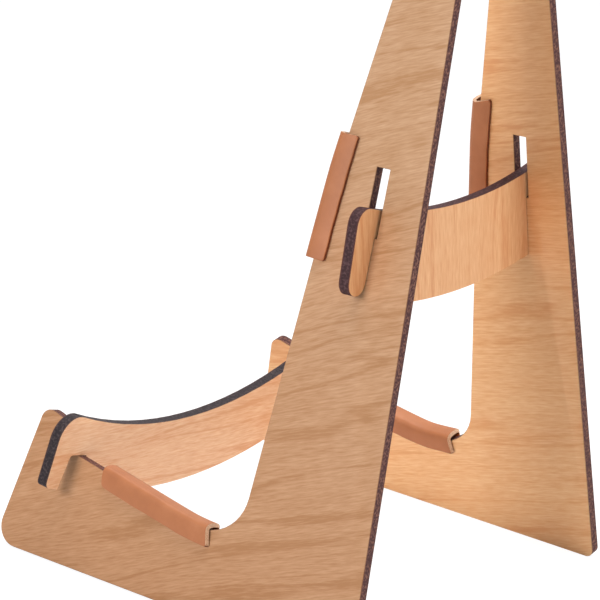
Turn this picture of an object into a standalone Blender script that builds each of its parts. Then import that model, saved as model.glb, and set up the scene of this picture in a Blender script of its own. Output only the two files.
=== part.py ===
"""Knock-down wooden guitar stand: two leaning side panels held apart by two hooked braces.

Metres, +Z up, floor at Z = 0, +X to the right, -Y to the front where the guitar sits.
Driving dimensions are in millimetres and are turned into metres where a mesh is made.
A panel is drawn in Y and V, where V climbs the leaning board from the floor.
A brace is drawn in X and W, where W climbs the brace's own plane from the floor.
"""

import math
from dataclasses import dataclass

import bmesh
import bpy
from mathutils import Matrix, Vector

MM = 0.001
BOARD = 6.0
FIT_GAP = 0.3
LEAN = math.radians(13.0)
HALF_SPREAD = 113.2
ARC_STEP_DEG = 9.0
ARC_POINTS = 9
SETTLE_STEPS = 6

# Side panel: tapers are Y gained for each millimetre of V.
PANEL_REAR = 112.4
PANEL_FRONT = -114.8
REAR_TAPER = 0.0869
FRONT_TAPER = 0.1023
FRONT_LOWER_TAPER = 0.0402
TOP_V = 421.0
BEND_V = 235.6
BEND_Y = 40.8
BEND_RADIUS = 260.0
END_ROUNDING = 0.47
REAR_CORNER_RADIUS = 4.5
HEEL_V = 43.0
HEEL_RADIUS = 23.0
DIP_Y = 3.0
DIP_V = 43.4
DIP_RADIUS = 70.0
SEAT_Y = -73.5
SEAT_V = 57.0
TIP_V = 76.7
TIP_TOP_FALL = 0.27
TIP_FRONT_TAPER = 0.1825
TIP_FRONT_RADIUS = 6.0
TIP_REAR_RADIUS = 5.0
TOE_RADIUS = 11.0

# Slot for the rear brace: its front edge at the bottom, and its slant as Y gained per millimetre of V.
SLOT_Y = 64.2
SLOT_V = 206.0
SLOT_LENGTH = 34.0
SLOT_WIDTH = 7.6
SLOT_SLANT = -0.042

# Leather edge pads: a strip folded over the board's edge, with a little air under the fold. Its leaves
# stand off the board by LEAF_SWELL more at the fold than at their ends.
LEATHER = 1.8
FOLD_AIR = 2.3
FOLD_RADIUS = 3.0
FOLD_INNER_RADIUS = 1.3
FOLD_STEPS = 3
PAD_LEAF = 7.2
LEAF_SWELL = 1.0
LEAF_DEPTHS = (1.0, 0.5)
UPRIGHT_PAD = (189.0, 254.0)
FOOT_PAD = (-54.0, 17.5)
FOOT_PAD_REAR_SLOPE = 0.0
PAD_STATIONS = 14
SOFT_BEND = 6.0

CHERRY = (0.63, 0.36, 0.19)
CHERRY_LIGHT = (0.79, 0.46, 0.25)
TAN_LEATHER = (0.50, 0.18, 0.085)
WOOD_ROUGHNESS = 0.45
LEATHER_ROUGHNESS = 0.6

SIN = math.sin(LEAN)
COS = math.cos(LEAN)
TAN = math.tan(LEAN)


@dataclass(frozen=True)
class Brace:
    """One crescent board with a hook at each end, in its own plane.

    rear_y and pitch place its rear face: Y at the floor, and Y gained for each millimetre of height.
    low and top are the heights of its two sagging edges in the middle; top_reach is where the upper one
    ends and the hook's rounding begins. seat_y and seat_v are the point on a panel's edge that carries
    the neck, whose lower edge slants with the leaning board. The hook's outer border is hook_width from
    the middle at the floor, less hook_taper for each millimetre of W. Its tail hangs hang_gap off the
    panel at the neck, and hang_taper more for each millimetre below it, down to tail_low; tail_rise
    lifts the outer corner of the tail's end.
    """

    name: str
    rear_y: float
    pitch: float
    low: float
    low_radius: float
    top: float
    top_radius: float
    top_reach: float
    seat_y: float
    seat_v: float
    neck_radius: float
    hook_width: float
    hook_taper: float
    hook_radius: float
    hang_gap: float
    hang_taper: float
    tail_low: float
    tail_rise: float
    tail_inner_radius: float
    tail_outer_radius: float

    @property
    def length(self):
        """Length of the plane for one unit of height."""
        return math.hypot(1.0, self.pitch)

    @property
    def neck(self):
        """W at which the neck rests just clear of the panel's outer arris."""
        z = self.seat_v * COS + BOARD * SIN
        return (z + self.pitch * (self.seat_y - self.rear_y)) / self.length + FIT_GAP

    def neck_w(self, x):
        """W of the neck's lower edge at X."""
        arris_x = HALF_SPREAD + BOARD * COS - self.seat_v * SIN
        return self.neck + TAN * (x - arris_x)

    def neck_end(self, border_x):
        """Where the neck's lower edge meets a border, given the border's X at W."""
        w = self.neck
        for _ in range(SETTLE_STEPS):
            w = self.neck_w(border_x(w))
        return (border_x(w), w)

    def inner_x(self, w):
        """Largest X at W that stays inside the panels' inner faces."""
        z = (w + max(self.pitch, 0.0) * BOARD) / self.length
        return HALF_SPREAD - TAN * z - FIT_GAP / COS

    def outer_x(self, w):
        """Smallest X at W that stays outside the panels' outer faces."""
        z = (w + min(self.pitch, 0.0) * BOARD) / self.length
        return HALF_SPREAD + BOARD / COS - TAN * z + FIT_GAP / COS

    def hook_x(self, w):
        """X of the hook's outer border at W."""
        return self.hook_width - self.hook_taper * w

    def tail_x(self, w):
        """X of the tail's inner border at W."""
        return self.outer_x(w) + self.hang_gap + self.hang_taper * (self.neck - w)

    def front_face_y(self, v):
        """Y just in front of the brace at V on a panel."""
        return self.rear_y + self.pitch * v * COS - (BOARD + FIT_GAP) * self.length


REAR = Brace(
    name="rear_brace",
    rear_y=79.3,
    pitch=-0.043,
    low=162.25,
    low_radius=387.0,
    top=208.2,
    top_radius=312.0,
    top_reach=78.0,
    seat_y=SLOT_Y,
    seat_v=SLOT_V,
    neck_radius=1.0,
    hook_width=119.6,
    hook_taper=0.151,
    hook_radius=8.5,
    hang_gap=0.0,
    hang_taper=0.0,
    tail_low=175.7,
    tail_rise=0.0,
    tail_inner_radius=6.4,
    tail_outer_radius=7.0,
)

FRONT = Brace(
    name="front_brace",
    rear_y=-78.15,
    pitch=0.09,
    low=20.6,
    low_radius=312.0,
    top=57.65,
    top_radius=281.0,
    top_reach=109.0,
    seat_y=SEAT_Y,
    seat_v=SEAT_V,
    neck_radius=2.0,
    hook_width=140.6,
    hook_taper=TAN,
    hook_radius=13.0,
    hang_gap=7.1,
    hang_taper=0.18,
    tail_low=41.6,
    tail_rise=3.3,
    tail_inner_radius=0.8,
    tail_outer_radius=3.4,
)


def clear_scene():
    for item in list(bpy.data.objects):
        bpy.data.objects.remove(item, do_unlink=True)


def material(name, colour, roughness):
    """A Principled material with one colour and roughness."""
    made = bpy.data.materials.new(name)
    made.use_nodes = True
    shader = made.node_tree.nodes["Principled BSDF"]
    shader.inputs["Base Color"].default_value = (*colour, 1.0)
    shader.inputs["Roughness"].default_value = roughness
    shader.inputs["Metallic"].default_value = 0.0
    return made


def rounded(corners):
    """Closed outline through corners (x, y, radius), each corner replaced by a tangent arc."""
    points = []
    count = len(corners)
    for index, (x, y, radius) in enumerate(corners):
        if radius <= 0:
            points.append((x, y))
            continue
        corner = Vector((x, y))
        before = (Vector(corners[index - 1][:2]) - corner).normalized()
        after = (Vector(corners[(index + 1) % count][:2]) - corner).normalized()
        half = before.angle(after) / 2
        reach = radius / math.tan(half)
        middle = corner + (before + after).normalized() * (radius / math.sin(half))
        start = corner + before * reach - middle
        finish = corner + after * reach - middle
        turn = start.angle_signed(finish)
        steps = max(2, round(abs(math.degrees(turn)) / ARC_STEP_DEG))
        for k in range(steps + 1):
            spun = Matrix.Rotation(-turn * k / steps, 2) @ start
            points.append(tuple(middle + spun))
    return points


def front_edge(v):
    """Y of the upright's front edge at V, straight above and below its bend."""
    slope = FRONT_TAPER if v > BEND_V else FRONT_LOWER_TAPER
    return BEND_Y + slope * (v - BEND_V)


def panel_outline():
    """Side panel's outline, from the rear bottom corner up the rear edge, over the end, down to the toe."""
    rear_top = PANEL_REAR - REAR_TAPER * TOP_V
    front_top = front_edge(TOP_V)
    end_radius = END_ROUNDING * (rear_top - front_top)
    tip_y = PANEL_FRONT + TIP_FRONT_TAPER * TIP_V
    step_y = FRONT.front_face_y(SEAT_V)
    step_v = SEAT_V + FRONT.pitch / COS * (SEAT_Y - step_y)
    back_y = FRONT.front_face_y(TIP_V)
    back_v = TIP_V - TIP_TOP_FALL * (back_y - tip_y)
    return rounded(
        [
            (PANEL_REAR, 0.0, REAR_CORNER_RADIUS),
            (rear_top, TOP_V, end_radius),
            (front_top, TOP_V, end_radius),
            (BEND_Y, BEND_V, BEND_RADIUS),
            (front_edge(HEEL_V), HEEL_V, HEEL_RADIUS),
            (DIP_Y, DIP_V, DIP_RADIUS),
            (SEAT_Y, SEAT_V, 0.0),
            (FRONT.front_face_y(step_v), step_v, 0.0),
            (FRONT.front_face_y(back_v), back_v, TIP_REAR_RADIUS),
            (tip_y, TIP_V, TIP_FRONT_RADIUS),
            (PANEL_FRONT, 0.0, TOE_RADIUS),
        ]
    )


def slot_outline():
    """The slot: a slanted rectangle, its ends square to its sides."""
    start = Vector((SLOT_Y, SLOT_V))
    along = Vector((SLOT_SLANT, 1.0)).normalized()
    rearward = Vector((along.y, -along.x)) * SLOT_WIDTH
    finish = start + along * SLOT_LENGTH
    return [tuple(corner) for corner in (start, start + rearward, finish + rearward, finish)]


def arc_up(x, low, radius):
    """Height at x of an arc that sags to low in the middle."""
    return low + radius - math.sqrt(radius * radius - x * x)


def arc_corners(low, radius, reach):
    """Unrounded corners along a sagging edge, from just beside its middle out to reach."""
    xs = [reach * (k + 1) / ARC_POINTS for k in range(ARC_POINTS)]
    return [(x, arc_up(x, low, radius), 0.0) for x in xs]


def shoulder_x(brace):
    """X at which the brace's lower edge meets the panel's inner face."""
    x = brace.inner_x(brace.low)
    for _ in range(SETTLE_STEPS):
        x = brace.inner_x(arc_up(x, brace.low, brace.low_radius))
    return x


def hook_corner(brace):
    """Where the tangent at the upper edge's end crosses the hook's outer border."""
    reach = brace.top_reach
    start = arc_up(reach, brace.top, brace.top_radius)
    slope = reach / math.sqrt(brace.top_radius**2 - reach * reach)
    x = (brace.hook_x(start) + brace.hook_taper * slope * reach) / (1 + brace.hook_taper * slope)
    return (x, start + slope * (x - reach), brace.hook_radius)


def brace_half(brace):
    """Right half of a brace: lower edge, shoulder, neck, hanging tail, hook and upper edge."""
    tail_high = brace.tail_low + brace.tail_rise
    corners = arc_corners(brace.low, brace.low_radius, shoulder_x(brace))
    corners.append((*brace.neck_end(brace.inner_x), 0.0))
    corners.append((*brace.neck_end(brace.tail_x), brace.neck_radius))
    corners.append((brace.tail_x(brace.tail_low), brace.tail_low, brace.tail_inner_radius))
    corners.append((brace.hook_x(tail_high), tail_high, brace.tail_outer_radius))
    corners.append(hook_corner(brace))
    corners += reversed(arc_corners(brace.top, brace.top_radius, brace.top_reach))
    return corners


def brace_outline(brace):
    """Whole outline of a brace, from its right half and that half's mirror image."""
    right = brace_half(brace)
    left = [(-x, w, radius) for x, w, radius in reversed(right)]
    return rounded([(0.0, brace.low, 0.0)] + right + [(0.0, brace.top, 0.0)] + left)


def panel_frame(side):
    """Matrix of a side panel: local X is world Y, local Y climbs the lean, Z crosses the board."""
    along = Vector((0.0, 1.0, 0.0))
    climb = Vector((-side * SIN, 0.0, COS))
    outward = Vector((side * COS, 0.0, SIN))
    place = Vector((side * HALF_SPREAD, 0.0, 0.0)) + outward * (BOARD / 2)
    frame = Matrix((along, climb, along.cross(climb))).transposed().to_4x4()
    frame.translation = place * MM
    return frame


def brace_frame(brace):
    """Matrix of a brace: local X stays, local Y climbs its plane, Z crosses the board to the front."""
    along = Vector((1.0, 0.0, 0.0))
    climb = Vector((0.0, brace.pitch, 1.0)).normalized()
    forward = along.cross(climb)
    place = Vector((0.0, brace.rear_y, 0.0)) + forward * (BOARD / 2)
    frame = Matrix((along, climb, forward)).transposed().to_4x4()
    frame.translation = place * MM
    return frame


def board(name, loops, frame, finish):
    """A flat board: the first loop is its outline and the others are holes through it."""
    curve = bpy.data.curves.new(name, "CURVE")
    curve.dimensions = "2D"
    curve.fill_mode = "BOTH"
    curve.extrude = BOARD / 2 * MM
    for loop in loops:
        spline = curve.splines.new("POLY")
        spline.points.add(len(loop) - 1)
        for point, (x, y) in zip(spline.points, loop):
            point.co = (x * MM, y * MM, 0.0, 1.0)
        spline.use_cyclic_u = True
    curve.materials.append(finish)
    made = bpy.data.objects.new(name, curve)
    made.matrix_world = frame
    bpy.context.collection.objects.link(made)
    return made


def fold_line(rise, half, radius):
    """Half of a U section, from the leaf's end round one corner: (outward from the edge, across).

    A leaf comes in by the swell times its depth squared.
    """
    start = rise - radius
    points = []
    for depth in LEAF_DEPTHS:
        points.append((start - depth * (PAD_LEAF + start), half - LEAF_SWELL * depth * depth))
    for k in range(FOLD_STEPS + 1):
        angle = math.pi / 2 * k / FOLD_STEPS
        out = start + radius * math.sin(angle)
        points.append((out, half - radius + radius * math.cos(angle)))
    return points


def pad_section():
    """U section of a pad: the outer line of both leaves, then the inner line back."""
    inside = BOARD / 2 + FIT_GAP + LEAF_SWELL
    outer = fold_line(FOLD_AIR + LEATHER, inside + LEATHER, FOLD_RADIUS)
    inner = fold_line(FOLD_AIR, inside, FOLD_INNER_RADIUS)
    outer_line = outer + [(out, -across) for out, across in reversed(outer)]
    inner_line = inner + [(out, -across) for out, across in reversed(inner)]
    return outer_line, inner_line[::-1]


def ring_faces(rings, size):
    """Quads between consecutive rings of points."""
    faces = []
    for ring in range(rings - 1):
        low = ring * size
        high = low + size
        for k in range(size):
            after = (k + 1) % size
            faces.append((low + k, low + after, high + after, high + k))
    return faces


def strip_pad(name, path, frame, finish):
    """A leather strip folded over an edge. path holds (y, v, outward y, outward v) stations."""
    outer, inner = pad_section()
    section = outer + inner
    verts = []
    for y, v, out_y, out_v in path:
        verts += [((y + out_y * a) * MM, (v + out_v * a) * MM, b * MM) for a, b in section]
    size = len(section)
    faces = ring_faces(len(path), size)
    last = (len(path) - 1) * size
    faces.append(tuple(range(size)))
    faces.append(tuple(last + k for k in range(size)))
    mesh = bpy.data.meshes.new(name)
    mesh.from_pydata(verts, [], faces)
    shell = bmesh.new()
    shell.from_mesh(mesh)
    bmesh.ops.triangulate(shell, faces=[face for face in shell.faces if len(face.verts) > 4])
    bmesh.ops.recalc_face_normals(shell, faces=shell.faces)
    shell.to_mesh(mesh)
    shell.free()
    mesh.materials.append(finish)
    made = bpy.data.objects.new(name, mesh)
    made.matrix_world = frame
    bpy.context.collection.objects.link(made)
    return made


def soft_kink(run, before, after):
    """Rise and slope at run along two straight lines that meet softly at run 0."""
    far = math.hypot(run, SOFT_BEND)
    rise = before * run + (after - before) * (run + far) / 2
    slope = before + (after - before) * (1 + run / far) / 2
    return rise, slope


def stations(values, follow):
    """Stations (y, v, outward y, outward v) along an edge. follow gives a point and its direction."""
    path = []
    for value in values:
        y, v, along_y, along_v = follow(value)
        length = math.hypot(along_y, along_v)
        path.append((y, v, -along_v / length, along_y / length))
    return path


def spaced(span):
    """Evenly spaced values over a span."""
    low, high = span
    return [low + (high - low) * k / (PAD_STATIONS - 1) for k in range(PAD_STATIONS)]


def upright_edge(v):
    """Point on the upright's front edge at V, with its direction upwards."""
    rise, slope = soft_kink(v - BEND_V, FRONT_LOWER_TAPER, FRONT_TAPER)
    return (BEND_Y + rise, v, slope, 1.0)


def foot_edge(y):
    """Point under the foot pad at Y, with its direction to the rear. The pad bridges the heel's start."""
    before = (DIP_V - SEAT_V) / (DIP_Y - SEAT_Y)
    rise, slope = soft_kink(y - DIP_Y, before, FOOT_PAD_REAR_SLOPE)
    return (y, DIP_V + rise, 1.0, slope)


def build():
    clear_scene()
    cherry = material("cherry_panel", CHERRY, WOOD_ROUGHNESS)
    light = material("cherry_brace", CHERRY_LIGHT, WOOD_ROUGHNESS)
    leather = material("tan_leather", TAN_LEATHER, LEATHER_ROUGHNESS)
    loops = [panel_outline(), slot_outline()]
    upright = stations(spaced(UPRIGHT_PAD), upright_edge)
    foot = stations(spaced(FOOT_PAD), foot_edge)
    for side, word in ((1, "right"), (-1, "left")):
        frame = panel_frame(side)
        board(f"{word}_side_panel", loops, frame, cherry)
        strip_pad(f"{word}_upright_pad", upright, frame, leather)
        strip_pad(f"{word}_foot_pad", foot, frame, leather)
    for brace in (REAR, FRONT):
        board(brace.name, [brace_outline(brace)], brace_frame(brace), light)


build()
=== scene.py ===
"""Looks of a knock-down wooden guitar stand: oiled cherry boards with browned cut edges and tan leather pads.

Metres, +Z up, floor at Z = 0, +X to the right, -Y to the front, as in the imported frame. A panel's own
directions are Y along it, V up its lean and across its thickness. Sizes whose names end in _mm are millimetres.
"""

import logging
import math
from dataclasses import dataclass
from enum import Enum
from typing import Any

import bmesh
import bpy
import numpy as np
from mathutils import Matrix, Vector


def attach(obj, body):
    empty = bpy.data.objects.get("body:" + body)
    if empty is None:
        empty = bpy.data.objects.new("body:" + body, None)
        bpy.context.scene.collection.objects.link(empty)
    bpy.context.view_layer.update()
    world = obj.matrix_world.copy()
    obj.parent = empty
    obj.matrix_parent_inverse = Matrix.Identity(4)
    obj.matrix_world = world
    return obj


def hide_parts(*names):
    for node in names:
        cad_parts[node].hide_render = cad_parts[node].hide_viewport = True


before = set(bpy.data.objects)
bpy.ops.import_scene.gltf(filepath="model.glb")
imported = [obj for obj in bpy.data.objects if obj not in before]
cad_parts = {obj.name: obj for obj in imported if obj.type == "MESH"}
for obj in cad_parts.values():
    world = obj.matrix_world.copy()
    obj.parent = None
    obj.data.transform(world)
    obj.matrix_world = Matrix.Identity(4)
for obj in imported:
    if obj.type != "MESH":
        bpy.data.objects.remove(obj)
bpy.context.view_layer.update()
LOG = logging.getLogger("guitar_stand")

MM = 0.001
LEATHER_SIDE = "leather_side"
CUT_SHARE = "cut_share"


class Side(Enum):
    """The two mirrored side panels; the value is the sign of X."""

    RIGHT = 1
    LEFT = -1


class Grain(Enum):
    """Which way the veneer was laid on a board; the value is its turn from the board's length."""

    ALONG = 0.0
    UP = math.pi / 2


class Cut(Enum):
    """What part of a laser-cut board a face belongs to; the value goes into the CUT_SHARE attribute."""

    VENEER = 0.0
    ARRIS = 0.5
    EDGE = 1.0


class Leather(Enum):
    """What side of a leather strip a face shows; the value goes into the LEATHER_SIDE attribute."""

    GRAIN = 0.0
    KNIFE_CUT = 0.5
    # A leaf's long border: its dark colour is painted shade of the gap between leaf and board.
    SHADED_BORDER = 1.0


def linear(code: str) -> tuple[float, float, float, float]:
    """Turn an sRGB hex colour into a linear one.

    Args:
        code: six hex digits.

    Returns:
        Linear red, green and blue, with an alpha of 1.
    """
    parts = [int(code[i:i + 2], 16) / 255 for i in (0, 2, 4)]
    flat = [p / 12.92 if p <= 0.04045 else ((p + 0.055) / 1.055) ** 2.4 for p in parts]
    return (flat[0], flat[1], flat[2], 1.0)


def add(tree: Any, kind: str, settings: dict[str, Any] | None = None, **links: Any) -> Any:
    """Add a shader node with its settings and links.

    Args:
        tree: the material's node tree.
        kind: the node's type name.
        settings: node properties, input values keyed by "in:NAME" or "in:INDEX", or "stops" for a
            colour ramp: its positions with sRGB hex colours.
        links: source sockets keyed by input name, with _ for a space, or i0, i1 for an index.

    Returns:
        The new node.
    """
    node = tree.nodes.new(kind)
    for key, value in (settings or {}).items():
        if key == "stops":
            bar = node.color_ramp.elements
            while len(bar) < len(value):
                bar.new(0.5)
            for element, (place, code) in zip(bar, value):
                element.position = place
                element.color = linear(code)
        elif key.startswith("in:"):
            name = key[3:]
            node.inputs[int(name) if name.isdigit() else name].default_value = value
        else:
            setattr(node, key, value)
    for key, source in links.items():
        name = key.replace("_", " ")
        slot = node.inputs[int(key[1:])] if key[1:].isdigit() else node.inputs[name]
        tree.links.new(source, slot)
    return node


@dataclass(frozen=True)
class BoardPlane:
    """A flat board's own directions and origin, read from its solid."""

    axes: np.ndarray
    origin: np.ndarray

    @classmethod
    def of(cls, node: str, facing: tuple[float, float, float]) -> "BoardPlane":
        """Read the plane of a board.

        The largest triangle's normal runs across the board, turned to point along facing. Up is the
        vertical laid into the board's plane, and along is square to both. The origin is in the middle
        of the thickness, level with the board's lowest point and square to the frame's own origin.

        Args:
            node: the board's node.
            facing: a direction that the across axis must agree with.

        Returns:
            The plane, its axes as columns: along, up and across.
        """
        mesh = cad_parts[node].data
        points = np.empty(len(mesh.vertices) * 3)
        mesh.vertices.foreach_get("co", points)
        points = points.reshape(-1, 3)
        areas = np.empty(len(mesh.polygons))
        mesh.polygons.foreach_get("area", areas)
        normals = np.empty(len(mesh.polygons) * 3)
        mesh.polygons.foreach_get("normal", normals)
        across = normals.reshape(-1, 3)[areas.argmax()]
        across = across * np.sign(across @ np.array(facing))
        up = np.array((0.0, 0.0, 1.0)) - across * across[2]
        up /= np.linalg.norm(up)
        depth = points @ across
        origin = across * (depth.min() + depth.max()) / 2 + up * (points @ up).min()
        return cls(np.stack([np.cross(up, across), up, across], 1), origin)

    def world(self, local: np.ndarray) -> np.ndarray:
        """Turn rows of (along, up, across) in metres into places in the frame."""
        return local @ self.axes.T + self.origin

    def coordinates(self, tree: Any) -> Any:
        """Add nodes that give a point's (along, up, across) in metres.

        Args:
            tree: the material's node tree.

        Returns:
            A vector socket.
        """
        turn = Matrix(self.axes.tolist()).transposed()
        shift = -(turn @ Vector(self.origin))
        source = add(tree, "ShaderNodeTexCoord").outputs["Object"]
        settings = {"in:Rotation": turn.to_euler("XYZ"), "in:Location": shift}
        return add(tree, "ShaderNodeMapping", settings, Vector=source).outputs["Vector"]


@dataclass(frozen=True)
class Streaks:
    """One layer of a wood figure: streaks of a length and width, and their share in the tone."""

    length_mm: float
    width_mm: float
    share: float = 1.0
    detail: float = 2.0


@dataclass(frozen=True)
class Rings:
    """Growth rings cut at a low angle: long nested lines of darker late wood.

    count is how many rings fit into the whole range of the slow noise they follow, and late_wood is the
    part of a ring that is dark.
    """

    course: Streaks = Streaks(300.0, 26.0, detail=2.5)
    count: float = 9.0
    late_wood: float = 0.3
    share: float = 0.26


@dataclass(frozen=True)
class Swing:
    """How far the figure takes a sheet's tone: factors for red, green and blue at its two ends."""

    darkest: tuple[float, float, float]
    lightest: tuple[float, float, float]


@dataclass(frozen=True)
class Char:
    """Colours of an edge cut by laser: the board's core, its lighter specks and the veneer's end grain."""

    core: str
    speck: str
    veneer: str


@dataclass(frozen=True)
class CherryBoard:
    """Sliced cherry veneer on fibreboard, sanded, oiled and cut by laser.

    The sheet's colour changes slowly from its foot to its top; this ramp is painted light, lighter at the end where
    more light falls. Over it lie thin darker growth lines, soft patches and fine straight fibres, under a satin oil
    film. The laser has charred the cut edges, dark in the fibreboard's core and redder where the veneers end.

    The two sheet colours are the colours at the floor and at the given height up the board. They are veneer colour
    with painted light in them: the ramp between them is painted light, and each board's level of colour is partly
    painted light, set by how much light reaches that board. Tone changes from dark to light over figure_span on
    each side of the middle.
    """

    name: str
    plane: BoardPlane
    grain: Grain
    slant: float
    tones_with_painted_light: tuple[str, str]
    swing: Swing
    char: Char
    seed: float
    painted_light_height_mm: float = 260.0
    figure: tuple[Streaks, ...] = (
        Streaks(110.0, 16.0, 0.25),
        Streaks(45.0, 2.4, 0.45),
        Streaks(9.0, 0.85, 1.0),
    )
    figure_span: float = 0.3
    rings: Rings = Rings()
    wander: Streaks = Streaks(160.0, 60.0, detail=1.0)
    wander_mm: float = 7.0
    speck_mm: float = 1.3
    veneer_mm: float = 0.6
    thick_mm: float = 6.0
    relief: Streaks = Streaks(14.0, 0.5)

    def fibre(self, tree: Any, source: Any, layer: Streaks) -> Any:
        """Noise drawn out along the grain, with streaks of the layer's length and width.

        Args:
            tree: the material's node tree.
            source: coordinates along and across the grain, in metres.
            layer: the streaks' sizes.

        Returns:
            The noise's value socket, about 0.5 in the middle.
        """
        scale = (1 / (layer.length_mm * MM), 1 / (layer.width_mm * MM), 1.0)
        shift = (self.seed + layer.width_mm, self.seed * 3.7, self.seed)
        fitted = add(tree, "ShaderNodeMapping", {"in:Scale": scale, "in:Location": shift}, Vector=source)
        settings = {"in:Scale": 1.0, "in:Detail": layer.detail, "in:Roughness": 0.55}
        return add(tree, "ShaderNodeTexNoise", settings, Vector=fitted.outputs["Vector"]).outputs["Fac"]

    def along_grain(self, tree: Any, local: Any) -> Any:
        """Coordinates along and across the grain, bent sideways by slow noise so that the fibres wander.

        Args:
            tree: the material's node tree.
            local: the board's own coordinates.

        Returns:
            A vector socket in metres.
        """
        turn = (0.0, 0.0, -(self.slant + self.grain.value))
        turned = add(tree, "ShaderNodeMapping", {"in:Rotation": turn}, Vector=local).outputs["Vector"]
        slow = self.fibre(tree, turned, self.wander)
        bend = add(tree, "ShaderNodeMapRange", {"in:3": -self.wander_mm * MM, "in:4": self.wander_mm * MM}, i0=slow)
        aside = add(tree, "ShaderNodeCombineXYZ", Y=bend.outputs[0]).outputs[0]
        return add(tree, "ShaderNodeVectorMath", {"operation": "ADD"}, i0=turned, i1=aside).outputs[0]

    def growth_lines(self, tree: Any, grain: Any) -> Any:
        """Growth rings: slow noise times the count, folded to and fro, dark near one of its turns only.

        Args:
            tree: the material's node tree.
            grain: coordinates along and across the grain.

        Returns:
            A value socket, 0 in early wood and the rings' share in the middle of the late wood.
        """
        rings = self.rings
        course = self.fibre(tree, grain, rings.course)
        many = add(tree, "ShaderNodeMath", {"operation": "MULTIPLY", "in:1": rings.count}, i0=course).outputs[0]
        fold = add(tree, "ShaderNodeMath", {"operation": "PINGPONG", "in:1": 1.0}, i0=many).outputs[0]
        settings = {"interpolation_type": "SMOOTHSTEP", "in:1": 1 - rings.late_wood, "in:4": rings.share}
        return add(tree, "ShaderNodeMapRange", settings, i0=fold).outputs[0]

    def face_colour(self, tree: Any, local: Any, grain: Any) -> Any:
        """Sum the figure's layers less the growth lines, and multiply the sheet's tone by it.

        Args:
            tree: the material's node tree.
            local: the board's own coordinates.
            grain: coordinates along and across the grain.

        Returns:
            A colour socket.
        """
        lines = self.growth_lines(tree, grain)
        middle = sum(layer.share for layer in self.figure) / 2
        total = add(tree, "ShaderNodeMath", {"operation": "SUBTRACT", "in:0": 0.0}, i1=lines).outputs[0]
        for layer in self.figure:
            noise = self.fibre(tree, grain, layer)
            settings = {"operation": "MULTIPLY_ADD", "in:1": layer.share}
            total = add(tree, "ShaderNodeMath", settings, i0=noise, i2=total).outputs[0]
        ends = {"in:7": (middle - self.figure_span,) * 3, "in:8": (middle + self.figure_span,) * 3}
        ends |= {"data_type": "FLOAT_VECTOR", "in:9": self.swing.darkest, "in:10": self.swing.lightest}
        figure = add(tree, "ShaderNodeMapRange", ends, i6=total).outputs["Vector"]
        # Painted light: the sheet colour ramps from the floor colour to the top colour up the board, lighter at the
        # end where more light falls.
        height = add(tree, "ShaderNodeSeparateXYZ", Vector=local).outputs["Y"]
        share = add(tree, "ShaderNodeMapRange", {"in:2": self.painted_light_height_mm * MM}, i0=height).outputs[0]
        low, high = (linear(code) for code in self.tones_with_painted_light)
        sheet = add(tree, "ShaderNodeMix", {"data_type": "RGBA", "in:6": low, "in:7": high}, i0=share).outputs[2]
        return add(tree, "ShaderNodeVectorMath", {"operation": "MULTIPLY"}, i0=sheet, i1=figure).outputs[0]

    def edge_colour(self, tree: Any, local: Any) -> Any:
        """Charred fibreboard with lighter specks between two lines of veneer.

        Args:
            tree: the material's node tree.
            local: the board's own coordinates.

        Returns:
            A colour socket.
        """
        scale = {"in:Scale": 1 / (self.speck_mm * MM), "in:Detail": 3.0}
        specks = add(tree, "ShaderNodeTexNoise", scale, Vector=local).outputs["Fac"]
        core = add(tree, "ShaderNodeValToRGB",
                   {"stops": [(0.45, self.char.core), (0.72, self.char.speck)]}, Fac=specks).outputs["Color"]
        across = add(tree, "ShaderNodeSeparateXYZ", Vector=local).outputs["Z"]
        depth = add(tree, "ShaderNodeMath", {"operation": "ABSOLUTE"}, i0=across).outputs[0]
        border = (self.thick_mm / 2 - self.veneer_mm) * MM
        settings = {"in:1": border - 0.1 * MM, "in:2": border + 0.1 * MM}
        share = add(tree, "ShaderNodeMapRange", settings, i0=depth).outputs[0]
        veneer = linear(self.char.veneer)
        return add(tree, "ShaderNodeMix", {"data_type": "RGBA", "in:7": veneer}, i0=share, i6=core).outputs[2]

    def make(self) -> Any:
        """Build the material.

        Returns:
            The finished material.
        """
        made = bpy.data.materials.new(self.name)
        made.use_nodes = True
        tree = made.node_tree
        shader = tree.nodes["Principled BSDF"]
        local = self.plane.coordinates(tree)
        grain = self.along_grain(tree, local)
        share = add(tree, "ShaderNodeAttribute", {"attribute_name": CUT_SHARE}).outputs["Fac"]
        cut = add(tree, "ShaderNodeMix", {"data_type": "RGBA"}, i0=share,
                  i6=self.face_colour(tree, local, grain), i7=self.edge_colour(tree, local)).outputs[2]
        rough = add(tree, "ShaderNodeMapRange", {"in:3": 0.5, "in:4": 0.7}, i0=share).outputs[0]
        sheen = add(tree, "ShaderNodeMapRange", {"in:3": 0.4, "in:4": 0.2}, i0=share).outputs[0]
        height = self.fibre(tree, grain, self.relief)
        bump = add(tree, "ShaderNodeBump", {"in:Strength": 0.1, "in:Distance": 0.2 * MM}, Height=height)
        tree.links.new(cut, shader.inputs["Base Color"])
        tree.links.new(rough, shader.inputs["Roughness"])
        tree.links.new(sheen, shader.inputs["Specular IOR Level"])
        tree.links.new(bump.outputs["Normal"], shader.inputs["Normal"])
        return made


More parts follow.
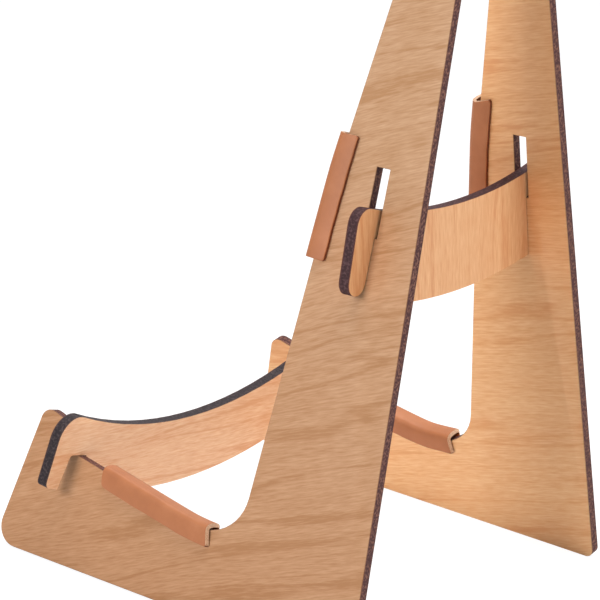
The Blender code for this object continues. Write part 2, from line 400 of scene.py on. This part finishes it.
@dataclass(frozen=True)
class TanLeather:
    """Vegetable-tanned leather, smooth side out, about 2 mm thick.

    The grain side is warm tan with faint clouds and a fine pebble. The strip's ends are knife cut and
    show the paler middle of the hide; its long borders are dark brown, painted shade that stands in for the shadow
    in the gap between each leaf's border and the board.
    """

    name: str = "tan_leather"
    cloud_mm: float = 14.0
    fibre_mm: float = 0.6
    pebble_mm: float = 0.8

    def make(self) -> Any:
        """Build the material.

        Returns:
            The finished material.
        """
        made = bpy.data.materials.new(self.name)
        made.use_nodes = True
        tree = made.node_tree
        shader = tree.nodes["Principled BSDF"]
        place = add(tree, "ShaderNodeTexCoord").outputs["Object"]
        clouds = {"in:Scale": 1 / (self.cloud_mm * MM), "in:Detail": 4.0}
        cloud = add(tree, "ShaderNodeTexNoise", clouds, Vector=place).outputs["Fac"]
        skin = add(tree, "ShaderNodeValToRGB",
                   {"stops": [(0.3, "A5653E"), (0.5, "AD6B42"), (0.7, "B47249")]}, Fac=cloud).outputs["Color"]
        fibres = {"in:Scale": 1 / (self.fibre_mm * MM), "in:Detail": 2.0}
        fuzz = add(tree, "ShaderNodeTexNoise", fibres, Vector=place).outputs["Fac"]
        knife = add(tree, "ShaderNodeValToRGB",
                    {"stops": [(0.35, "BD8F6D"), (0.65, "D9B291")]}, Fac=fuzz).outputs["Color"]
        # Painted shade: the dark brown of the leaves' long borders stands in for the shadow in the gap between leaf
        # and board.
        border_shade = add(tree, "ShaderNodeValToRGB",
                    {"stops": [(0.35, "5E2F1C"), (0.65, "86482C")]}, Fac=fuzz).outputs["Color"]
        side = add(tree, "ShaderNodeAttribute", {"attribute_name": LEATHER_SIDE}).outputs["Fac"]
        any_cut = add(tree, "ShaderNodeMapRange", {"in:1": 0.1, "in:2": 0.4}, i0=side).outputs[0]
        is_border_shade = add(tree, "ShaderNodeMapRange", {"in:1": 0.6, "in:2": 0.9}, i0=side).outputs[0]
        cuts = add(tree, "ShaderNodeMix", {"data_type": "RGBA"}, i0=is_border_shade, i6=knife, i7=border_shade).outputs[2]
        colour = add(tree, "ShaderNodeMix", {"data_type": "RGBA"}, i0=any_cut, i6=skin, i7=cuts).outputs[2]
        pebbles = {"in:Scale": 1 / (self.pebble_mm * MM)}
        pebble = add(tree, "ShaderNodeTexVoronoi", pebbles, Vector=place).outputs["Distance"]
        bump = add(tree, "ShaderNodeBump", {"in:Strength": 0.2, "in:Distance": 0.2 * MM}, Height=pebble)
        tree.links.new(colour, shader.inputs["Base Color"])
        tree.links.new(bump.outputs["Normal"], shader.inputs["Normal"])
        shader.inputs["Roughness"].default_value = 0.5
        shader.inputs["Specular IOR Level"].default_value = 0.4
        return made


def place_piece(name: str, mesh: Any, finish: Any, node: str, body: str) -> Any:
    """Put a finished mesh in the scene in the place of a node.

    Args:
        name: the piece's name.
        mesh: its mesh, with its place in its points.
        finish: its material.
        node: the node that it stands for.
        body: the body that it rides on.

    Returns:
        The new object.
    """
    mesh.materials.clear()
    mesh.materials.append(finish)
    made = bpy.data.objects.new(name, mesh)
    bpy.context.collection.objects.link(made)
    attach(made, body)
    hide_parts(node)
    LOG.info("%s: %d faces", name, len(mesh.polygons))
    return made


@dataclass
class Board:
    """One board: its solid's own shape, with the sharp arrises eased by sanding."""

    node: str
    body: str
    slot: str
    finish: CherryBoard
    arris_mm: float = 0.25

    def eased(self) -> Any:
        """Copy the solid, merge its triangles into whole faces and ease each edge round its two faces.

        Returns:
            The new mesh.
        """
        across = Vector(self.finish.plane.axes[:, 2])
        shell = bmesh.new()
        shell.from_mesh(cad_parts[self.node].data)
        bmesh.ops.remove_doubles(shell, verts=shell.verts, dist=0.002 * MM)
        bmesh.ops.dissolve_limit(shell, angle_limit=math.radians(0.5), verts=shell.verts, edges=shell.edges)
        shell.normal_update()
        rim = [
            edge
            for edge in shell.edges
            if len(edge.link_faces) == 2
            and len({abs(face.normal.dot(across)) > 0.5 for face in edge.link_faces}) == 2
        ]
        bmesh.ops.bevel(shell, geom=rim, offset=self.arris_mm * MM, segments=1, affect="EDGES", clamp_overlap=True)
        mesh = bpy.data.meshes.new(f"{self.node}_board")
        shell.to_mesh(mesh)
        shell.free()
        return mesh

    def mark_cuts(self, mesh: Any) -> None:
        """Write each face's share of the cut from its normal: a veneer face, an arris or an edge.

        Args:
            mesh: the board's mesh.
        """
        normals = np.empty(len(mesh.polygons) * 3)
        mesh.polygons.foreach_get("normal", normals)
        facing = np.abs(normals.reshape(-1, 3) @ self.finish.plane.axes[:, 2])
        share = np.select([facing > 0.95, facing > 0.2], [Cut.VENEER.value, Cut.ARRIS.value], Cut.EDGE.value)
        mesh.attributes.new(CUT_SHARE, "FLOAT", "FACE").data.foreach_set("value", share.astype(np.float32))

    def build(self) -> Any:
        """Make the board and dress it.

        Returns:
            The finished piece.
        """
        mesh = self.eased()
        self.mark_cuts(mesh)
        mesh.shade_smooth()
        mesh.set_sharp_from_angle(angle=math.radians(30))
        return place_piece(f"{self.node}_board", mesh, self.finish.make(), self.node, self.body)


@dataclass(frozen=True)
class Sheet:
    """One board's veneer: which way it lies, its grain's slant in radians, its two sheet colours, which hold
    painted light, and its cut's colours.
    """

    node: str
    body: str
    slot: str
    facing: tuple[float, float, float]
    grain: Grain
    slant: float
    tones_with_painted_light: tuple[str, str]
    swing: Swing
    char: Char
    seed: float


BROWN_FIGURE = Swing((0.82, 0.74, 0.62), (1.16, 1.25, 1.4))
REDDISH_FIGURE = Swing((0.88, 0.74, 0.65), (1.08, 1.22, 1.33))
PANEL_CHAR = Char("482A2A", "8E6252", "54302A")
FRONT_CHAR = Char("292225", "4A3F40", "4A3633")
REAR_CHAR = Char("3A2527", "5C4143", "5A3630")


@dataclass
class Boards:
    """The two side panels and the two braces that hold them apart, each from its own sheet of veneer; their colours
    differ partly by painted light.
    """

    sheets: tuple[Sheet, ...] = (
        # The sheet colours hold painted light: the near right panel is painted darker and lighter towards its top,
        # the far left panel lighter and lightest at its foot, and the braces' levels are partly painted light too.
        Sheet("right_side_panel", "right_panel", "panel_veneer", (1.0, 0.0, 0.0), Grain.ALONG, 0.4,
              ("B4835B", "C0946E"), BROWN_FIGURE, PANEL_CHAR, 3.0),
        Sheet("left_side_panel", "left_panel", "panel_veneer", (1.0, 0.0, 0.0), Grain.ALONG, 0.29,
              ("F2BE89", "EDB37C"), REDDISH_FIGURE, PANEL_CHAR, 1.0),
        Sheet("front_brace", "front_brace", "brace_veneer", (0.0, -1.0, 0.0), Grain.ALONG, 0.08,
              ("F5C297", "F5C297"), REDDISH_FIGURE, FRONT_CHAR, 8.0),
        Sheet("rear_brace", "rear_brace", "brace_veneer", (0.0, -1.0, 0.0), Grain.UP, -0.13,
              ("E4AA77", "E4AA77"), REDDISH_FIGURE, REAR_CHAR, 5.0),
    )

    def build(self) -> None:
        """Make the four boards."""
        for sheet in self.sheets:
            finish = CherryBoard(f"{sheet.node}_cherry", BoardPlane.of(sheet.node, sheet.facing), sheet.grain,
                                 sheet.slant, sheet.tones_with_painted_light, sheet.swing, sheet.char, sheet.seed)
            Board(sheet.node, sheet.body, sheet.slot, finish).build()


@dataclass(frozen=True)
class PadPaths:
    """The board edges that the pads follow, in millimetres of Y and V on a side panel."""

    bend_v: float = 235.6
    bend_y: float = 40.8
    upper_taper: float = 0.1023
    lower_taper: float = 0.0402
    upright: tuple[float, float] = (189.0, 252.0)
    foot: tuple[float, float] = (-54.0, 15.2)
    seat: tuple[float, float] = (-73.5, 57.0)
    dip: tuple[float, float] = (3.0, 43.0)
    rear_slope: float = -0.04
    soft: float = 6.0
    count: int = 120

    def kink(self, run: np.ndarray, before: float, after: float) -> np.ndarray:
        """Rise along two straight lines of slopes before and after that meet softly at run 0."""
        return before * run + (after - before) * (run + np.hypot(run, self.soft)) / 2

    def upright_path(self) -> np.ndarray:
        """Stations (y, v, outward y, outward v) up the upright's front edge."""
        v = np.linspace(*self.upright, self.count)
        y = self.bend_y + self.kink(v - self.bend_v, self.lower_taper, self.upper_taper)
        slope = np.gradient(y, v)
        length = np.hypot(1, slope)
        return np.stack([y, v, -1 / length, slope / length], 1)

    def foot_path(self) -> np.ndarray:
        """Stations (y, v, outward y, outward v) along the foot's top edge, from front to back."""
        y = np.linspace(*self.foot, self.count)
        before = (self.dip[1] - self.seat[1]) / (self.dip[0] - self.seat[0])
        v = self.dip[1] + self.kink(y - self.dip[0], before, self.rear_slope)
        slope = np.gradient(v, y)
        length = np.hypot(1, slope)
        return np.stack([y, v, -slope / length, 1 / length], 1)


@dataclass
class EdgePad:
    """A leather strip folded over a board's edge, with air under its fold and leaves that close on the board.

    Each of these pairs holds for the path's start and finish: corners_mm are the radii that round the
    leaves' corners, flare_mm is how far the leaves' borders stand off the board, skew_mm is how far they
    reach past the fold and bevel_mm how far the inner side reaches past the outer one. swell_mm is how
    much more the leaves stand off at the fold than at their borders.
    """

    name: str
    node: str
    side: Side
    plane: BoardPlane
    path: np.ndarray
    corners_mm: tuple[float, float] = (1.2, 1.2)
    flare_mm: tuple[float, float] = (0.15, 0.15)
    skew_mm: tuple[float, float] = (0.0, 0.0)
    bevel_mm: tuple[float, float] = (0.0, 0.0)
    seed: float = 0.0
    board_mm: float = 6.0
    gap_mm: float = 0.3
    thick_mm: float = 1.8
    air_mm: float = 2.3
    leaf_mm: float = 7.2
    crown_mm: float = 0.25
    swell_mm: float = 1.0
    outer_radius_mm: float = 3.0
    inner_radius_mm: float = 1.3
    border_mm: float = 0.35
    reach_mm: float = 5.0

    def line(self, offset: float, rise: float, radius: float, border: float) -> np.ndarray:
        """U-shaped line round the board's edge, from one leaf's border over the fold to the other's.

        Each leaf comes in by the swell times its depth squared. A quarter circle turns it into the fold,
        which is crowned by a cosine. At its border the line rounds in to the board by a quarter ellipse.

        Args:
            offset: distance from the board's faces.
            rise: distance from the board's edge at the fold.
            radius: radius of the two corners.
            border: how far the line rounds in at the leaf's border.

        Returns:
            Rows of (outward, across, depth down the leaf from 0 to 1, sign of the leaf), millimetres.
        """
        half = self.board_mm / 2 + offset + self.swell_mm
        depth = np.concatenate([1 - 0.05 * (1 - np.cos(np.linspace(0, math.pi / 2, 5))), np.linspace(0.9, 0.0, 9)])
        past = np.clip((depth - 0.95) / 0.05, 0, 1)
        inward = self.swell_mm * depth * depth + border * (1 - np.sqrt(1 - past * past))
        leaf = np.stack([np.full(len(depth), rise - radius), inward - half, depth], 1)
        turn = np.linspace(0, math.pi / 2, 8)[1:]
        corner = np.stack([rise - radius + radius * np.sin(turn), radius - half - radius * np.cos(turn)], 1)
        corner = np.column_stack([corner, np.zeros(len(turn))])
        flat = np.linspace(radius - half, 0, 5)[1:]
        crown = rise + self.crown_mm * np.cos(flat / (half - radius) * math.pi / 2)
        fold = np.column_stack([crown, flat, np.zeros(len(flat))])
        first = np.concatenate([leaf, corner, fold])
        first = np.column_stack([first, np.full(len(first), -1.0)])
        return np.concatenate([first, first[-2::-1] * [1, -1, 1, -1]])

    def leaf_length(self) -> np.ndarray:
        """Length of the leaves at each station: wavy by a tenth of a millimetre, rounded off at both ends.

        A corner takes away radius less the root of radius squared less the square of what is left to it.
        """
        run = self.run()
        length = self.leaf_mm + 0.12 * np.sin(run / 7.0 + self.seed) + 0.06 * np.sin(run / 2.3 + 2 * self.seed)
        for radius, ahead in zip(self.corners_mm, (run, run[-1] - run)):
            short = np.clip(radius - ahead, 0, radius)
            length = length - (radius - np.sqrt(radius * radius - short * short))
        return length

    def run(self) -> np.ndarray:
        """Distance along the path at each station, in millimetres."""
        return np.concatenate([[0], np.cumsum(np.hypot(*np.diff(self.path[:, :2], axis=0).T))])

    def at_ends(self, start: float, finish: float) -> np.ndarray:
        """A value that falls off exponentially from start and from finish over reach_mm, at each station."""
        run = self.run()
        return start * np.exp(-run / self.reach_mm) + finish * np.exp((run - run[-1]) / self.reach_mm)

    def grid(self) -> tuple[np.ndarray, int]:
        """Work out the strip's points.

        A point goes outward from the path's station and across the board. Down a leaf it comes in by
        depth times the leaf's length, and stands off by the flare times depth squared. Near an end it
        moves along the path by depth times the skew, and by the bevel on the inner line.

        Returns:
            Points in the frame, by station and by place in the ring, and the points on the outer line.
        """
        outer = self.line(self.gap_mm + self.thick_mm, self.air_mm + self.thick_mm, self.outer_radius_mm,
                          self.border_mm)
        inner = self.line(self.gap_mm, self.air_mm, self.inner_radius_mm, 0.0)
        out, across, depth, sign = np.concatenate([outer, inner[::-1]]).T[:, None, :]
        y, v, out_y, out_v = self.path.T[:, :, None]
        reach = out - depth * (self.leaf_length()[:, None] + out)
        aside = across + sign * depth * depth * self.at_ends(*self.flare_mm)[:, None]
        is_inner = np.repeat([0.0, 1.0], [len(outer), len(inner)])
        skew = self.at_ends(-self.skew_mm[0], self.skew_mm[1])[:, None] * depth
        shift = skew + self.at_ends(-self.bevel_mm[0], self.bevel_mm[1])[:, None] * is_inner
        places = [y + out_y * reach + out_v * shift, v + out_v * reach - out_y * shift, aside]
        return self.plane.world(np.stack(places, -1) * MM), len(outer)

    def build(self, finish: Any) -> Any:
        """Join the rings by quads and cap the ends by quads between the outer and the inner line.

        Args:
            finish: the leather material.

        Returns:
            The finished piece.
        """
        points, half = self.grid()
        rows, size = points.shape[:2]
        k = np.arange(size)
        base = (np.arange(rows - 1) * size)[:, None]
        sides = np.stack([base + k, base + size + k, base + size + (k + 1) % size, base + (k + 1) % size], -1)
        j = np.arange(half - 1)
        cap = np.stack([j, j + 1, size - 2 - j, size - 1 - j], -1)
        last = cap[:, ::-1] + (rows - 1) * size
        faces = np.concatenate([sides.reshape(-1, 4), cap, last])
        mesh = bpy.data.meshes.new(self.name)
        mesh.from_pydata(points.reshape(-1, 3).tolist(), [], faces.tolist())
        # The leaves' long borders take the leather's painted border shade.
        border = (k == half - 1) | (k == size - 1)
        ring = np.where(border, Leather.SHADED_BORDER.value, Leather.GRAIN.value)
        kinds = np.concatenate([np.tile(ring, rows - 1), np.full(2 * len(cap), Leather.KNIFE_CUT.value)])
        mesh.attributes.new(LEATHER_SIDE, "FLOAT", "FACE").data.foreach_set("value", kinds.astype(np.float32))
        shell = bmesh.new()
        shell.from_mesh(mesh)
        bmesh.ops.recalc_face_normals(shell, faces=shell.faces)
        shell.to_mesh(mesh)
        shell.free()
        mesh.shade_smooth()
        mesh.set_sharp_from_angle(angle=math.radians(50))
        body = f"{self.side.name.lower()}_panel"
        return place_piece(self.name, mesh, finish, self.node, body)


@dataclass(frozen=True)
class SidePads:
    """How the two strips of one panel were cut by hand and glued on."""

    side: Side
    paths: PadPaths
    upright_skew_mm: tuple[float, float]
    foot_skew_mm: tuple[float, float]
    foot_bevel_mm: tuple[float, float] = (0.0, 1.0)
    foot_corners_mm: tuple[float, float] = (3.2, 0.8)
    foot_flare_mm: tuple[float, float] = (0.1, 0.3)

    def build(self, finish: Any) -> None:
        """Make the upright's and the foot's pad in the leather."""
        word = self.side.name.lower()
        plane = BoardPlane.of(f"{word}_side_panel", (1.0, 0.0, 0.0))
        EdgePad(f"{word}_upright_leather", f"{word}_upright_pad", self.side, plane, self.paths.upright_path(),
                skew_mm=self.upright_skew_mm, seed=1.0 + self.side.value).build(finish)
        EdgePad(f"{word}_foot_leather", f"{word}_foot_pad", self.side, plane, self.paths.foot_path(),
                self.foot_corners_mm, self.foot_flare_mm, self.foot_skew_mm, self.foot_bevel_mm,
                seed=4.0 + self.side.value).build(finish)


@dataclass
class Pads:
    """The four leather pads: one on each upright's front edge and one on each foot's top edge."""

    pairs: tuple[SidePads, ...] = (
        SidePads(Side.RIGHT, PadPaths(), (0.0, 0.6), (-0.6, 1.8)),
        SidePads(Side.LEFT, PadPaths(upright=(189.0, 254.6), foot=(-54.0, 20.5), dip=(3.0, 43.6), rear_slope=0.1),
                 (0.0, 3.0), (0.0, 1.2)),
    )

    def build(self) -> None:
        """Make the pads, all from one hide."""
        leather = TanLeather().make()
        for pair in self.pairs:
            pair.build(leather)


@dataclass(frozen=True)
class Lamp:
    """A soft square lamp. share is how much of full brightness it gives a white card that faces it."""

    name: str
    place: tuple[float, float, float]
    size: float
    share: float

    def build(self, aim: Vector) -> None:
        """Hang the lamp and turn it to a point.

        A card at a distance from a square lamp gets its power over pi squared times the distance squared.

        Args:
            aim: the point that it faces.
        """
        way = aim - Vector(self.place)
        data = bpy.data.lights.new(self.name, "AREA")
        data.size = self.size
        data.energy = self.share * math.pi**2 * way.length_squared
        made = bpy.data.objects.new(self.name, data)
        made.location = self.place
        made.rotation_euler = way.to_track_quat("-Z", "Y").to_euler()
        bpy.context.collection.objects.link(made)


@dataclass(frozen=True)
class Studio:
    """Pale floor, soft light and the photograph's camera, solved from the photograph."""

    eye: tuple[float, float, float] = (1.2640, 0.8448, 0.5917)
    azimuth: float = 124.34
    elevation: float = 16.62
    roll: float = 5.78
    focal_px: float = 3050.9
    frame_px: float = 600.0
    sensor: float = 36.0
    sky: float = 0.14
    floor_reach: float = 6.0
    floor_grey: float = 0.9
    floor_glow: float = 0.93
    shadow_share: float = 0.2
    aim: tuple[float, float, float] = (0.0, 0.0, 0.18)
    lamps: tuple[Lamp, ...] = (
        Lamp("key_light", (1.15, -0.1, 0.55), 0.3, 0.465),
        Lamp("back_light", (-0.85, 1.65, 0.92), 1.6, 0.39),
        Lamp("top_light", (-0.2, 0.1, 1.6), 1.4, 1.53),
    )

    def camera(self) -> None:
        """Place the camera by its solved direction and roll."""
        az, el, roll = (math.radians(a) for a in (self.azimuth, self.elevation, self.roll))
        back = Vector((math.sin(az) * math.cos(el), -math.cos(az) * math.cos(el), math.sin(el)))
        level = Vector((math.cos(az), math.sin(az), 0.0))
        up = back.cross(level)
        right = math.cos(roll) * level + math.sin(roll) * up
        above = math.cos(roll) * up - math.sin(roll) * level
        data = bpy.data.cameras.new("camera")
        data.sensor_width = self.sensor
        data.lens = self.sensor * self.focal_px / self.frame_px
        made = bpy.data.objects.new("camera", data)
        pose = Matrix((right, above, back)).transposed().to_4x4()
        pose.translation = Vector(self.eye)
        made.matrix_world = pose
        bpy.context.collection.objects.link(made)
        bpy.context.scene.camera = made

    def sees_white(self, tree: Any) -> Any:
        """Add nodes that are 1 for the rays that see the pale background: camera, glossy and transmission."""
        path = add(tree, "ShaderNodeLightPath")
        first = add(tree, "ShaderNodeMath", {"operation": "MAXIMUM"},
                    i0=path.outputs["Is Camera Ray"], i1=path.outputs["Is Glossy Ray"]).outputs[0]
        return add(tree, "ShaderNodeMath", {"operation": "MAXIMUM"},
                   i0=first, i1=path.outputs["Is Transmission Ray"]).outputs[0]

    def world(self) -> None:
        """White world that lights the object softly."""
        made = bpy.data.worlds.new("studio")
        made.use_nodes = True
        tree = made.node_tree
        back = tree.nodes["Background"]
        back.inputs["Color"].default_value = (1, 1, 1, 1)
        strength = add(tree, "ShaderNodeMapRange", {"in:3": self.sky, "in:4": 1.0}, i0=self.sees_white(tree))
        tree.links.new(strength.outputs[0], back.inputs["Strength"])
        bpy.context.scene.world = made

    def floor(self) -> None:
        """Pale floor: it throws light back up, and shows white to the camera with the object's shadow."""
        reach = self.floor_reach
        mesh = bpy.data.meshes.new("floor")
        mesh.from_pydata([(-reach, -reach, 0), (reach, -reach, 0), (reach, reach, 0), (-reach, reach, 0)], [],
                         [(0, 1, 2, 3)])
        made = bpy.data.objects.new("floor", mesh)
        bpy.context.collection.objects.link(made)
        finish = bpy.data.materials.new("pale_floor")
        finish.use_nodes = True
        tree = finish.node_tree
        tree.nodes.clear()
        glow = add(tree, "ShaderNodeEmission", {"in:Color": (1, 1, 1, 1), "in:Strength": self.floor_glow})
        shade = add(tree, "ShaderNodeBsdfDiffuse", {"in:Color": (*(self.shadow_share,) * 3, 1)})
        shown = add(tree, "ShaderNodeAddShader", i0=glow.outputs[0], i1=shade.outputs[0])
        matt = add(tree, "ShaderNodeBsdfDiffuse", {"in:Color": (*(self.floor_grey,) * 3, 1)})
        both = add(tree, "ShaderNodeMixShader", i0=self.sees_white(tree), i1=matt.outputs[0], i2=shown.outputs[0])
        add(tree, "ShaderNodeOutputMaterial", Surface=both.outputs[0])
        mesh.materials.append(finish)

    def build(self) -> None:
        """Set up camera, light and floor."""
        self.camera()
        self.world()
        self.floor()
        for lamp in self.lamps:
            lamp.build(Vector(self.aim))
        bpy.context.scene.view_settings.view_transform = "Standard"


def main() -> None:
    """Build the studio, the boards and the pads."""
    logging.basicConfig(level=logging.INFO, format="%(name)s: %(message)s")
    Studio().build()
    Boards().build()
    Pads().build()


if __name__ == "__main__":
    main()
